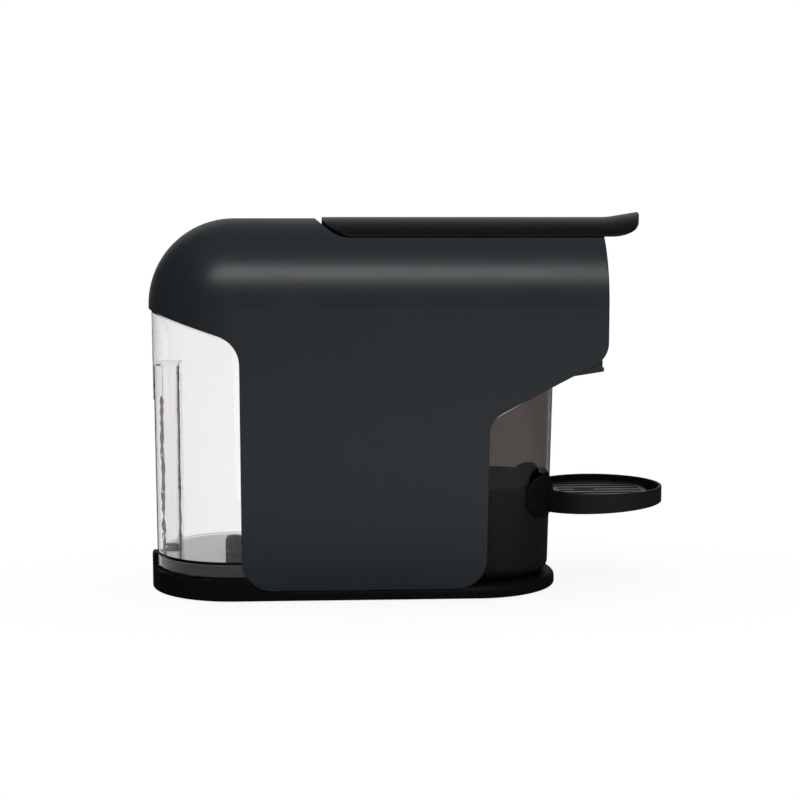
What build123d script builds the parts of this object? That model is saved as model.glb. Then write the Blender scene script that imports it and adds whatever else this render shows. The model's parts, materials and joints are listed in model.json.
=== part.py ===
"""Slim pod coffee machine, as the pieces it would come apart into.

Frame: +X is the front (cup side), +Y the machine's left-hand far side, +Z up, millimetres.
The origin is the middle of the footprint on the worktop.
"""

from build123d import *
import math
import os

# Driving dimensions of the body
HALF_WIDTH = 58.0  # radius of the arched roof, and half the width
DOME_X = -117.6  # upright axis of the round rear end
CROWN_Z = 250.4
ARCH_Z = CROWN_Z - HALF_WIDTH
WALL = 2.5
SHELL_FRONT_X = 127.7
PANEL_LOW_Z = 7.0
INNER_HALF = HALF_WIDTH - WALL - 0.3  # half-width of the inner plates, clear of the shell

# Slanted edges of the shell's sides
TANK_RIM_SLOPE = -0.322
TANK_RIM_Z = 175.0  # height of the tank-side rim at TANK_RIM_X
TANK_RIM_X = -128.0
TANK_EDGE_X = -113.0
BIN_EDGE_X = 49.5
BAY_SLOPE = 0.5132
BAY_CORNER_Z = 119.4

# Base
BASE_LOW_Z = 0.5
BASE_EDGE_R = 1.0
BASE_TOP_Z = 9.0
BASE_REAR_Z = 15.0
PEDESTAL_Z = 23.2
BASE_FRONT_X = 43.0  # centre of the round front end
BASE_STEP_X = -80.0
SCREW_XS = (-62.0, 22.0)
SCREW_Y = 51.0
FEET = ((-143.0, 30.0), (66.0, 34.0))
GLAND_Y, GLAND_Z, GLAND_R = 26.0, 8.2, 5.2

# Lever
LEVER_HALF = 34.7
LEVER_REAR_X, LEVER_REAR_R, LEVER_REAR_CORNER = -58.8, 300.0, 22.0  # bowed rear end, in plan
LEVER_TIP_X, LEVER_TIP_R, LEVER_TIP_CORNER = 156.2, 70.0, 9.0
LEVER_TOP_Z = 251.2
LEVER_ARCH_R = 56.2
LEVER_ARCH_Z = LEVER_TOP_Z - LEVER_ARCH_R
LEVER_SKIRT_Z = 234.2
LEVER_LIP_X, LEVER_LIP_R, LEVER_LIP_ANGLE = 131.0, 50.0, 9.4  # where and how the lip turns up
LEVER_LIP_Z = 238.2  # underside of the lip
CHIN_X, CHIN_Z = 126.6, 236.3  # step of the lip that closes the gap above the fascia
OPENING_REAR_X, OPENING_REAR_R, OPENING_CORNER = -62.9, 48.0, 16.0  # lever opening in the shell
LEVER_WALL = 2.4
LEVER_ANGLE = 80.0
PIVOT_X, PIVOT_Z = -40.0, 238.0
PIVOT_R = 2.5

# Brew group
BREW_Z = 190.0
PISTON_R = 22.0
PISTON_FRONT_X = 96.0
PISTON_TRAVEL = 30.0
CROSS_X, CROSS_Z = 6.0, 206.0  # cross pin with the lever down
CROSS_R = 3.0
CAM_INNER_Y, CAM_OUTER_Y = 16.5, 20.0
EAR_INNER_Y, EAR_OUTER_Y = 21.0, 24.0
PLATE_INNER_Y, PLATE_OUTER_Y = 27.0, 30.0
FRAME_LOW_Z = 163.0
DECK_Z = 229.0
EXTRACT_X = 98.0
WEB_X0, WEB_X1 = 105.0, 109.0
DUCT_Z = 178.0
SPOUT_X = 113.0

# Drawer: drip basin below, smoked capsule bin above, one tapered tub
TUB_X = 51.0  # centre of the round front
TUB_R = 46.5  # radius at the split line
SPLIT_Z = 70.5
TUB_DRAFT = math.tan(math.radians(1.25))
TUB_REAR_X = -20.0
TUB_LOW_Z = 9.0
TUB_WALL = 2.4
LINER_REAR_X = -25.0
LINER_ROOF_Z = 120.5
LINER_BEND_X = 52.0
LINER_FRONT_X = 104.0
RIM_GAP = 3.6

# Cup tray
TRAY_X = 131.0
TRAY_R = 44.5
TRAY_TOP_Z = 67.4
TRAY_WALL = 2.2
TRAY_REAR_H, TRAY_FRONT_H = 15.6, 10.5
SADDLE_R = 47.3  # inner radius, clear of the tub over the lift
SADDLE_T = 1.8
EAR_LOW_Z, EAR_HIGH_Z = 49.5, 78.5  # the two ears that hug the tub
EAR_Y0, EAR_Y1 = 17.5, 39.5
RAIL_HEAD_X = 100.3
RAIL_Z0, RAIL_Z1 = 51.5, 58.0  # the tray hangs on the top of the rail
GRILLE_TOP_Z = 63.5
GRILLE_T = 3.0
BAR_PITCH = 9.6
SLOT_W = 4.2
GRILLE_RIM = 3.2
GRILLE_FRONT_X = 164.5  # straight end, which leaves a gap for a finger

# Water tank
TANK_R = 55.05
TANK_LEAN = 0.95  # how far its round back leans out from foot to rim
TANK_WALL = 2.0
GRIP_WALL = 1.5
TANK_FRONT_X = -88.0
TANK_FLOOR_Z = 26.0
GRIP_HALF, GRIP_X, GRIP_TOP_Z = 13.0, -156.5, 152.0
GRIP_LIP_Z = 129.0  # the outer wall comes down to here in front of the grip's hollow
VALVE_Y, VALVE_Z = -14.0, 33.5
VALVE_END_X = -113.0
FILTER_X, FILTER_R, FILTER_TOP_Z = -119.3, 6.0, 36.6
BULKHEAD_X0, BULKHEAD_X1 = -86.0, -83.5
SEAL_X = -93.5

# Water path
FLOW_X = -54.0
PUMP_LOW_Z = 60.5
BLOCK_X0, BLOCK_X1 = -18.0, 40.0
BLOCK_Z0, BLOCK_Z1 = 127.0, 152.0
HOSE_R, BORE_R, BARB_R = 5.0, 3.2, 3.0
TUBE_R = 2.5
BLOCK_IN_Z = 146.0
OUTLET_X = -14.0

# Fascia and buttons
FASCIA_X0, FASCIA_X1 = 121.6, 124.0
FASCIA_TOP_Z = 236.0
COVER_FRONT_X = 125.0
COVER_REAR_Z, COVER_FRONT_Z, COVER_TOP_Z = 147.4, 150.6, 153.2  # its underside rises to the front
BUTTON_Z = 211.0
BUTTON_Y = (-20.0, 0.0, 20.0)
BUTTON_R = 7.0
BOARD_X = 110.6


def rim_z(x, drop=0.0):
    """Height of the slanted tank-side rim of the shell."""
    return TANK_RIM_Z - drop + TANK_RIM_SLOPE * (x - TANK_RIM_X)


def tub_radius(z):
    """Radius of the drawer's round front, which widens upwards."""
    return TUB_R + (z - SPLIT_Z) * TUB_DRAFT


def rise_xy(face, z0, z1):
    return extrude(Plane.XY.offset(z0) * face, amount=z1 - z0)


def rise_xz(face, y0, y1):
    return extrude(Plane.XZ.offset(-y1) * face, amount=y1 - y0)


def rise_yz(face, x0, x1):
    return extrude(Plane.YZ.offset(x0) * face, amount=x1 - x0)


def rounded(points, radii):
    return make_face(FilletPolyline(*points, radius=radii, close=True))


def block(x0, x1, y0, y1, z0, z1):
    return Pos((x0 + x1) / 2, (y0 + y1) / 2, (z0 + z1) / 2) * Box(x1 - x0, y1 - y0, z1 - z0)


def both_sides(shape):
    return shape + mirror(shape, about=Plane.XZ)


def rod_x(x0, x1, y, z, r):
    return rise_yz(Pos(y, z) * Circle(r), x0, x1)


def rod_y(x, y0, y1, z, r):
    return rise_xz(Pos(x, z) * Circle(r), y0, y1)


def rod_z(x, y, z0, z1, r):
    return rise_xy(Pos(x, y) * Circle(r), z0, z1)


def d_plan(radius, x_front, x_axis=DOME_X):
    """Plan with straight sides and a half-round rear."""
    sides = Polyline((x_axis, radius), (x_front, radius), (x_front, -radius), (x_axis, -radius))
    rear = ThreePointArc((x_axis, -radius), (x_axis - radius, 0), (x_axis, radius))
    return make_face(sides + rear)


def arch_section(radius, z_low):
    walls = Polyline((-radius, ARCH_Z), (-radius, z_low), (radius, z_low), (radius, ARCH_Z))
    roof = ThreePointArc((radius, ARCH_Z), (0, ARCH_Z + radius), (-radius, ARCH_Z))
    return make_face(walls + roof)


def arch_body(radius, z_low, x_front):
    """Arched tunnel that ends at the rear in a half-round wall under a quarter-ball dome."""
    tunnel = rise_yz(arch_section(radius, z_low), DOME_X, x_front)
    high = ARCH_Z + radius
    bend = (radius * math.sqrt(0.5), ARCH_Z + radius * math.sqrt(0.5))
    outline = Polyline((0, high), (0, z_low), (radius, z_low), (radius, ARCH_Z))
    profile = make_face(outline + ThreePointArc((radius, ARCH_Z), bend, (0, high)))
    rear = revolve(Plane.YZ.offset(DOME_X) * profile, Axis((DOME_X, 0, 0), (0, 0, 1)), 180)
    return tunnel + rear


def side_outline(grow=0.0):
    """Side view of the shell: tank opening at the rear, bin opening at the front."""
    far_rear, far_top = -190.0, 300.0
    points = (
        (far_rear, far_top),
        (far_rear, rim_z(far_rear, grow)),
        (TANK_EDGE_X - grow, rim_z(TANK_EDGE_X, grow)),
        (TANK_EDGE_X + 0.5 - grow, PANEL_LOW_Z - grow),
        (BIN_EDGE_X - 1 + grow, PANEL_LOW_Z - grow),
        (BIN_EDGE_X + 0.5 + grow, BAY_CORNER_Z - grow),
        (SHELL_FRONT_X + grow, BAY_CORNER_Z - grow + BAY_SLOPE * (SHELL_FRONT_X - BIN_EDGE_X)),
        (SHELL_FRONT_X + grow, far_top),
    )
    return rounded(points, (0, 0, 20, 20, 20, 16, 16, 0))


def bowed_plan(half, rear_x, rear_r, rear_corner, front_x, front_r, front_corner):
    """Long plan with straight sides and two bowed ends."""
    rear_side = rear_x + rear_r - math.sqrt(rear_r**2 - half**2)
    front_side = front_x - front_r + math.sqrt(front_r**2 - half**2)
    rear = ThreePointArc((rear_side, half), (rear_x, 0), (rear_side, -half))
    front = ThreePointArc((front_side, -half), (front_x, 0), (front_side, half))
    sides = Line((rear_side, -half), (front_side, -half)) + Line((front_side, half), (rear_side, half))
    face = make_face(rear + sides + front)
    corners = face.vertices().sort_by(Axis.X)
    face = fillet(corners[:2], rear_corner)
    return fillet(face.vertices().sort_by(Axis.X)[-2:], front_corner)


def outer_reach(point):
    """How far a point stands out from the spine of the arched body."""
    rise = max(point.Z - ARCH_Z, 0)
    behind = min(point.X - DOME_X, 0)
    return math.sqrt(behind**2 + point.Y**2 + rise**2)


def rim_edges(body, radius):
    """Cut edges that lie on the arched skin of that radius, without its smooth seams."""
    return [
        edge
        for edge in body.edges()
        if all(abs(outer_reach(edge @ t) - radius) < 0.01 for t in (0.1, 0.5, 0.9))
        and not all(abs((edge @ t).X - DOME_X) < 0.01 for t in (0.1, 0.5, 0.9))
        and not all(abs((edge @ t).Z - ARCH_Z) < 0.01 for t in (0.1, 0.5, 0.9))
    ]


def main_shell():
    body = arch_body(HALF_WIDTH, 0.0, SHELL_FRONT_X + 1)
    body -= arch_body(HALF_WIDTH - WALL, -5.0, SHELL_FRONT_X + 5)
    body &= rise_xz(side_outline(), -HALF_WIDTH - 5, HALF_WIDTH + 5)
    opening = bowed_plan(
        LEVER_HALF + 0.5, OPENING_REAR_X, OPENING_REAR_R, OPENING_CORNER, SHELL_FRONT_X + 50, 90.0, 5.0
    )
    body -= rise_xy(opening, ARCH_Z + 20, CROWN_Z + 10)
    body = fillet(rim_edges(body, HALF_WIDTH), 0.8)
    inner_rim = [e for e in rim_edges(body, HALF_WIDTH - WALL) if (e @ 0.5).X < -36 and (e @ 0.5).Z > 230]
    body = chamfer(inner_rim, 1.3)
    lugs = Part() + [
        block(x - 6, x + 6, 47.5, HALF_WIDTH - WALL + 0.2, BASE_TOP_Z, BASE_TOP_Z + 6)
        - rod_z(x, SCREW_Y, BASE_TOP_Z - 1, BASE_TOP_Z + 5.5, 1.65)
        for x in SCREW_XS
    ]
    return body + both_sides(lugs)


def base_plate():
    """Low stadium-shaped tray with a raised tank seat and a tongue at the rear."""
    front_arc = ThreePointArc(
        (BASE_FRONT_X, -HALF_WIDTH), (BASE_FRONT_X + HALF_WIDTH, 0), (BASE_FRONT_X, HALF_WIDTH)
    )
    back = Polyline(
        (BASE_FRONT_X, HALF_WIDTH),
        (BASE_STEP_X, HALF_WIDTH),
        (BASE_STEP_X, -HALF_WIDTH),
        (BASE_FRONT_X, -HALF_WIDTH),
    )
    front = rise_xy(make_face(front_arc + back), BASE_LOW_Z, BASE_TOP_Z)
    top_arc = front.edges().group_by(Axis.Z)[-1].filter_by(GeomType.CIRCLE)
    front = fillet(top_arc, 4.0)
    rear = rise_xy(d_plan(HALF_WIDTH, BASE_STEP_X), BASE_LOW_Z, BASE_REAR_Z)
    base = front + rear
    base = fillet(base.edges().group_by(Axis.Z)[0], BASE_EDGE_R)
    base += rise_xy(d_plan(TANK_R - TANK_WALL - 0.6, TANK_FRONT_X), BASE_REAR_Z, PEDESTAL_Z)
    tongue = block(DOME_X - HALF_WIDTH - 5, DOME_X, -6.5, 6.5, BASE_LOW_Z, PEDESTAL_Z)
    base += tongue & rise_xy(d_plan(HALF_WIDTH, BASE_STEP_X), BASE_LOW_Z + 3, PEDESTAL_Z)
    notch = rise_xz(side_outline(0.3), HALF_WIDTH - WALL - 0.3, HALF_WIDTH + 5)
    base -= both_sides(notch)
    under = offset(d_plan(HALF_WIDTH, BASE_FRONT_X), -12)
    base -= rise_xy(under, BASE_LOW_Z - 1, BASE_LOW_Z + 2)
    for x, y in FEET:
        base += both_sides(rod_z(x, y, BASE_LOW_Z + 0.5, BASE_LOW_Z + 3, 10))
        base -= both_sides(rod_z(x, y, 0, BASE_LOW_Z + 1.5, 7.2))
    for x in SCREW_XS:
        hole = rod_z(x, SCREW_Y, 0, BASE_TOP_Z + 1, 1.7) + rod_z(x, SCREW_Y, 0, BASE_LOW_Z + 2.7, 3.5)
        base -= both_sides(hole)
    return base - rod_x(-190, -150, GLAND_Y, GLAND_Z, GLAND_R)


def cord_gland():
    """Rubber bush where a mains lead enters the base."""
    bush = rod_x(-171.0, -150.2, GLAND_Y, GLAND_Z, GLAND_R - 0.1)
    return bush - rod_x(-175, -145, GLAND_Y, GLAND_Z, 3.3)


def rubber_feet():
    feet = Part() + [rod_z(x, y, 0, BASE_LOW_Z + 1.5, 7.0) for x, y in FEET]
    return both_sides(feet)


def base_screws():
    screws = Part() + [
        rod_z(x, SCREW_Y, BASE_LOW_Z + 0.5, BASE_LOW_Z + 2.7, 3.2)
        + rod_z(x, SCREW_Y, BASE_LOW_Z + 2.7, BASE_TOP_Z + 5, 1.5)
        for x in SCREW_XS
    ]
    return both_sides(screws)


def rear_bulkhead():
    """Front wall and slanted roof of the tank bay."""
    rear_x = -180.0
    lift = 1.0
    wall_top = rim_z(BULKHEAD_X1, -lift - 0.5)
    wall = block(BULKHEAD_X0, BULKHEAD_X1, -INNER_HALF, INNER_HALF, BASE_REAR_Z, wall_top)
    roof_line = (
        (rear_x, rim_z(rear_x, -lift)),
        (BULKHEAD_X1, rim_z(BULKHEAD_X1, -lift)),
        (BULKHEAD_X1, rim_z(BULKHEAD_X1, -lift - WALL)),
        (rear_x, rim_z(rear_x, -lift - WALL)),
    )
    roof = rise_xz(make_face(Polyline(*roof_line, close=True)), -INNER_HALF, INNER_HALF)
    roof &= rise_xy(d_plan(INNER_HALF, BULKHEAD_X1), 140, 220)
    return wall + roof - rod_x(-95, -80, VALVE_Y, VALVE_Z, 4.2)


def bay_liner():
    """Back wall, roof and slanted underside around the drawer bay, with the used-capsule hole."""
    low = (
        (LINER_REAR_X + WALL, BASE_TOP_Z),
        (LINER_REAR_X + WALL, LINER_ROOF_Z),
        (LINER_BEND_X, LINER_ROOF_Z),
        (LINER_FRONT_X, LINER_ROOF_Z + BAY_SLOPE * (LINER_FRONT_X - LINER_BEND_X)),
    )
    high = (
        (LINER_FRONT_X, low[3][1] + WALL * 1.12),
        (LINER_BEND_X - 0.6, LINER_ROOF_Z + WALL),
        (LINER_REAR_X, LINER_ROOF_Z + WALL),
        (LINER_REAR_X, BASE_TOP_Z),
    )
    liner = rise_xz(make_face(Polyline(*low, *high, close=True)), -INNER_HALF, INNER_HALF)
    return liner - block(63, 95, -24, 24, 110, 160)


def front_fascia():
    face = arch_section(INNER_HALF, COVER_TOP_Z) & Pos(0, 190) * Rectangle(140, 2 * (FASCIA_TOP_Z - 190))
    panel = rise_yz(face, FASCIA_X0, FASCIA_X1)
    for y in BUTTON_Y:
        panel -= rod_x(FASCIA_X0 - 1, FASCIA_X1 + 1, y, BUTTON_Z, BUTTON_R + 0.35)
    return panel


def outlet_cover():
    """Cover under the brew group, with the hole for the spout."""
    x0, x1 = LINER_FRONT_X, COVER_FRONT_X
    top = COVER_TOP_Z
    points = ((x0, COVER_REAR_Z), (x1, COVER_FRONT_Z), (x1, top), (x0 + 5, top), (x0, COVER_REAR_Z + 2.6))
    cover = rise_xz(rounded(points, (0, 0.8, 0, 0, 0)), -INNER_HALF, INNER_HALF)
    return cover - rod_z(SPOUT_X, 0, COVER_REAR_Z - 5, top + 5, 6.3)


def coffee_spout():
    flange_z = COVER_TOP_Z + 1.6
    body = rod_z(SPOUT_X, 0, 144.6, COVER_TOP_Z, 6.0) + rod_z(SPOUT_X, 0, COVER_TOP_Z, flange_z, 8.4)
    body += rod_z(SPOUT_X, 0, flange_z, 160, 3.6)
    return body - rod_z(SPOUT_X, 0, 140, 165, 2.4)


def swept_tube(points, radius, radii, bore=0.0):
    path = FilletPolyline(*points, radius=radii)
    start = Plane(points[0], z_dir=Vector(*points[1]) - Vector(*points[0]))
    ring = Circle(radius) - Circle(bore) if bore else Circle(radius)
    return sweep(start * ring, path)


def coffee_duct():
    route = ((WEB_X1, 0, DUCT_Z), (SPOUT_X, 0, DUCT_Z), (SPOUT_X, 0, 160))
    return swept_tube(route, 3.6, [3.8], 2.4)


def brew_frame():
    """Two side plates with the cross-pin slots, guide web, front web and ears for the lever pin."""
    plate_points = (
        (-36, 214),
        (-36, 198),
        (-22, 190),
        (-22, 123),
        (-10, 123),
        (-4, FRAME_LOW_Z),
        (WEB_X1, FRAME_LOW_Z),
        (WEB_X1, DECK_Z),
        (-12, DECK_Z),
    )
    plate = rise_xz(rounded(plate_points, (4, 3, 6, 0, 0, 4, 0, 0, 8)), PLATE_INNER_Y, PLATE_OUTER_Y)
    slot_mid = CROSS_X - PISTON_TRAVEL / 2
    slot = Pos(slot_mid, CROSS_Z) * SlotCenterToCenter(PISTON_TRAVEL + 1.0, 2 * CROSS_R + 0.8)
    plate -= rise_xz(slot, PLATE_INNER_Y - 1, PLATE_OUTER_Y + 1)
    foot = block(-22, -10, PLATE_OUTER_Y, PLATE_OUTER_Y + 9, 123, 126)
    arm_x, arm_z = -17.0, 217.0
    tilt = math.degrees(math.atan2(arm_z - PIVOT_Z, arm_x - PIVOT_X))
    reach = math.hypot(arm_z - PIVOT_Z, arm_x - PIVOT_X)
    middle = Pos((PIVOT_X + arm_x) / 2, (PIVOT_Z + arm_z) / 2) * Rot(0, 0, tilt)
    ear = rise_xz(middle * SlotCenterToCenter(reach, 9.4), EAR_INNER_Y, EAR_OUTER_Y)
    ear -= rod_y(PIVOT_X, EAR_INNER_Y - 1, EAR_OUTER_Y + 1, PIVOT_Z, PIVOT_R + 0.05)
    ear += block(-22, -13, EAR_INNER_Y, PLATE_INNER_Y, 213, 220)
    frame = both_sides(plate + foot + ear)
    guide = block(48, 54, -PLATE_INNER_Y, PLATE_INNER_Y, FRAME_LOW_Z, 215)
    frame += guide - rod_x(40, 60, 0, BREW_Z, PISTON_R + 0.4)
    front = block(WEB_X0, WEB_X1, -PLATE_OUTER_Y, PLATE_OUTER_Y, 155, DECK_Z)
    front -= rod_x(WEB_X0 - 1, WEB_X1 + 1, 0, DUCT_Z, 4.6)
    frame += front + block(2, 48, -PLATE_INNER_Y, PLATE_INNER_Y, FRAME_LOW_Z, FRAME_LOW_Z + 3)
    posts = Part() + [rod_x(WEB_X1, BOARD_X, 24, z, 2.5) for z in (201, 221)]
    return frame + both_sides(posts)


def top_deck():
    """Deck seen under the raised lever, with the slot and chute for the capsule."""
    x0, x1, half = 30.0, FASCIA_X0, 31.5
    plan = Pos((x0 + x1) / 2, 0) * RectangleRounded(x1 - x0, 2 * half, 6)
    deck = rise_xy(plan, DECK_Z, DECK_Z + WALL)
    deck += block(65, 100, -25, 25, 214, DECK_Z)
    mouth = Pos(82.5, 0) * RectangleRounded(31, 46, 8)
    return deck - rise_xy(mouth, 200, DECK_Z + 5)


def extraction_plate():
    """Pierced plate that the capsule's lid is pressed against, with its outlet stub."""
    plate = rod_x(EXTRACT_X, WEB_X0, 0, BREW_Z, 23.0) + rod_x(WEB_X0, WEB_X1, 0, DUCT_Z, 3.8)
    plate -= rod_x(EXTRACT_X - 1, EXTRACT_X + 1.5, 0, BREW_Z, 17.0)
    pegs = [
        rise_yz(Pos(7.0 * i, BREW_Z + 7.0 * j) * Rectangle(3, 3), EXTRACT_X + 0.2, EXTRACT_X + 2)
        for i in (-1, 0, 1)
        for j in (-1, 0, 1)
    ]
    return plate + pegs - rod_x(EXTRACT_X, WEB_X1 + 1, 0, DUCT_Z, 2.4)


def extraction_seal():
    ring = rod_x(EXTRACT_X - 0.6, EXTRACT_X, 0, BREW_Z, 22.6)
    return ring - rod_x(EXTRACT_X - 2, EXTRACT_X + 2, 0, BREW_Z, 17.2)


def lever_pin():
    return rod_y(PIVOT_X, -EAR_OUTER_Y - 0.3, EAR_OUTER_Y + 0.3, PIVOT_Z, PIVOT_R)


def crown_edges(cap):
    """Outer edges of the lever's arched top, without the seams across it."""
    edges = []
    for edge in cap.edges():
        middle = edge @ 0.5
        rise = max(middle.X - LEVER_LIP_X, 0) * math.tan(math.radians(LEVER_LIP_ANGLE))
        crown = LEVER_ARCH_Z + math.sqrt(LEVER_ARCH_R**2 - middle.Y**2) + rise
        across = abs(middle.Y) < 1 and LEVER_REAR_X + 5 < middle.X < LEVER_TIP_X - 5
        if middle.Z > crown - 0.7 and not across:
            edges.append(edge)
    return edges


def lever_path():
    """Line along the lever's crown: straight, then turned up into the lip."""
    turn = math.radians(LEVER_LIP_ANGLE)

    def on_bend(angle):
        x = LEVER_LIP_X + LEVER_LIP_R * math.sin(angle)
        return Vector(x, 0, LEVER_TOP_Z + LEVER_LIP_R * (1 - math.cos(angle)))

    end = on_bend(turn) + Vector(math.cos(turn), 0, math.sin(turn)) * (LEVER_TIP_X - LEVER_LIP_X)
    run = Line((LEVER_REAR_X, 0, LEVER_TOP_Z), on_bend(0))
    return run + ThreePointArc(on_bend(0), on_bend(turn / 2), on_bend(turn)) + Line(on_bend(turn), end)


def lever_outline():
    """Side view of the lever: skirt inside the shell, then the rounded underside of the lip."""
    lip = LEVER_LIP_Z
    lip_x, tip_z = LEVER_TIP_X - 21.7, lip + 10.4
    under = Polyline(
        (LEVER_TIP_X, tip_z),
        (LEVER_TIP_X, 270),
        (LEVER_REAR_X, 270),
        (LEVER_REAR_X, LEVER_SKIRT_Z),
        (118.0, LEVER_SKIRT_Z),
        (118.0, CHIN_Z),
        (CHIN_X, CHIN_Z),
        (CHIN_X + 1.4, lip),
        (lip_x, lip),
    )
    curl = ThreePointArc((lip_x, lip), (LEVER_TIP_X - 9.2, lip + 3.3), (LEVER_TIP_X, tip_z))
    return make_face(under + curl)


def lever_cap():
    """Arched lid whose front turns up into a finger lip, hollow below."""
    half, wall = LEVER_HALF, LEVER_WALL
    edge_z = LEVER_ARCH_Z + math.sqrt(LEVER_ARCH_R**2 - half**2)
    low_z = LEVER_SKIRT_Z - 20
    walls = Polyline((-half, edge_z), (-half, low_z), (half, low_z), (half, edge_z))
    crown = ThreePointArc((half, edge_z), (0, LEVER_TOP_Z), (-half, edge_z))
    cap = sweep(Plane.YZ.offset(LEVER_REAR_X) * make_face(walls + crown), lever_path())
    cap &= rise_xz(lever_outline(), -half - 5, half + 5)
    plan = bowed_plan(
        half, LEVER_REAR_X, LEVER_REAR_R, LEVER_REAR_CORNER, LEVER_TIP_X, LEVER_TIP_R, LEVER_TIP_CORNER
    )
    cap &= rise_xy(plan, low_z, 270)
    cap = fillet(crown_edges(cap), 0.6)
    inner = LEVER_ARCH_R - wall
    inside = bowed_plan(
        half - wall, LEVER_REAR_X + wall, LEVER_REAR_R, LEVER_REAR_CORNER - wall, 117.0, 80.0, 4.0
    )
    cap -= rise_xy(inside, low_z, 260) & rod_x(LEVER_REAR_X, 130, 0, LEVER_ARCH_Z, inner)
    rib = block(-52, 14, 14.1, CAM_INNER_Y, PIVOT_Z - 3, 250)
    rib += block(14, 116.5, 14.1, CAM_INNER_Y, PIVOT_Z + 4.5, 250)
    rib &= rod_x(-60, 125, 0, LEVER_ARCH_Z, inner + 0.5)
    rib -= rod_y(PIVOT_X, 10, 20, PIVOT_Z, PIVOT_R + 0.05)
    return cap + both_sides(rib)


def cam_point(share):
    """Place of the cross pin in the lever's own frame when the lever is that share open."""
    angle = math.radians(LEVER_ANGLE * share)
    dx = CROSS_X - PISTON_TRAVEL * share - PIVOT_X
    dz = CROSS_Z - PIVOT_Z
    turned_x = dx * math.cos(angle) + dz * math.sin(angle)
    turned_z = dz * math.cos(angle) - dx * math.sin(angle)
    return (PIVOT_X + turned_x, PIVOT_Z + turned_z)


def lever_cams():
    """Two plates whose spiral slots draw the cross pin back as the lever rises."""
    path = [cam_point(i / 12) for i in range(13)]
    curve = Spline(*path)
    ends = (path[0], path[-1])
    slot_r, rim_r = CROSS_R + 0.35, 8.5
    slot = trace(curve, 2 * slot_r) + [Pos(*p) * Circle(slot_r) for p in ends]
    rim = trace(curve, 2 * rim_r) + [Pos(*p) * Circle(rim_r) for p in ends]
    top_z = 243.0
    sector = make_face(Polyline((PIVOT_X - 3.5, top_z), (4, top_z), *path, close=True))
    cam = rise_xz(sector + rim, CAM_INNER_Y, CAM_OUTER_Y)
    cam -= rise_xz(slot, CAM_INNER_Y - 1, CAM_OUTER_Y + 1)
    cam -= rod_y(PIVOT_X, CAM_INNER_Y - 1, CAM_OUTER_Y + 1, PIVOT_Z, PIVOT_R + 0.05)
    return both_sides(cam)


def brew_piston():
    """Capsule cage with its rear drive block and the yoke for the cross pin."""
    cage = rod_x(46, PISTON_FRONT_X, 0, BREW_Z, PISTON_R)
    cage -= rod_x(72, PISTON_FRONT_X + 1, 0, BREW_Z, 19.5)
    cage -= rod_x(PISTON_FRONT_X - 1, PISTON_FRONT_X + 1, 0, BREW_Z, 21.4)
    drive = block(-4, 46, -11, 11, 178, 202)
    yoke = block(-2, 14, -15, 15, 196, 213) - rod_y(CROSS_X, -20, 20, CROSS_Z, CROSS_R + 0.02)
    barb = rod_x(-7, -4, 0, BREW_Z, 3.5)
    return cage + drive + yoke + barb - rod_x(-8, 72, 0, BREW_Z, 1.6)


def piston_pin():
    return rod_y(CROSS_X, -PLATE_OUTER_Y - 0.5, PLATE_OUTER_Y + 0.5, CROSS_Z, CROSS_R)


def piston_seal():
    ring = rod_x(PISTON_FRONT_X - 1, PISTON_FRONT_X + 0.5, 0, BREW_Z, 21.3)
    return ring - rod_x(PISTON_FRONT_X - 2, PISTON_FRONT_X + 2, 0, BREW_Z, 19.7)


def piercing_pins():
    """Disc with three hollow-ground points that open the capsule's back."""
    disc = rod_x(72, 73.5, 0, BREW_Z, 18.5)
    points = [
        Pos(73.5 + 3.0, 9 * math.cos(a), BREW_Z + 9 * math.sin(a)) * Rot(0, 90, 0) * Cone(1.8, 0.3, 6)
        for a in (math.radians(90), math.radians(210), math.radians(330))
    ]
    return disc + points - rod_x(70, 75, 0, BREW_Z, 1.6)


def thermoblock():
    """Cast heater block on four feet, with its water inlet and outlet."""
    body = block(BLOCK_X0, BLOCK_X1, -25, 25, BLOCK_Z0, BLOCK_Z1)
    body = fillet(body.edges().filter_by(Axis.Z), 5)
    for i in range(4):
        x = BLOCK_X0 + 8 + i * 13.5
        body -= block(x, x + 4, -30, 30, BLOCK_Z1 - 2, BLOCK_Z1 + 1)
    for x in (BLOCK_X0 + 8, BLOCK_X1 - 8):
        body += both_sides(rod_z(x, 17, LINER_ROOF_Z + WALL, BLOCK_Z0, 4))
    body += rod_x(BLOCK_X0 - 4, BLOCK_X0, VALVE_Y, BLOCK_IN_Z, TUBE_R)
    return body + rod_z(OUTLET_X, 0, BLOCK_Z1 - 2, BLOCK_Z1 + 4, TUBE_R)


def heating_element():
    """Ends of the tubular heater that stand out of the block, with their flat terminals."""
    ends = Part()
    for y in (-10, 12):
        ends += rod_x(BLOCK_X1, BLOCK_X1 + 7, y, 136, 3.2)
        ends += block(BLOCK_X1 + 7, BLOCK_X1 + 14, y - 0.4, y + 0.4, 133, 139)
    return ends


def thermostat():
    return rod_y(12, 25, 31, 140, 8) - rod_y(12, 29.5, 33, 140, 5)


def pump_body():
    axis = (FLOW_X, VALVE_Y)
    body = rod_z(*axis, PUMP_LOW_Z, 126, 10) + rod_z(*axis, 52.5, PUMP_LOW_Z, BARB_R)
    return body + rod_z(*axis, 126, 134, TUBE_R)


def pump_coil():
    coil = block(FLOW_X - 21, FLOW_X + 21, VALVE_Y - 15, VALVE_Y + 15, 73, 111)
    coil = fillet(coil.edges().filter_by(Axis.Z), 6)
    for z in (70, 111):
        coil += block(FLOW_X - 22, FLOW_X + 22, VALVE_Y - 17, VALVE_Y + 17, z, z + 3)
    return coil - rod_z(FLOW_X, VALVE_Y, 60, 120, 10.2)


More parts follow.
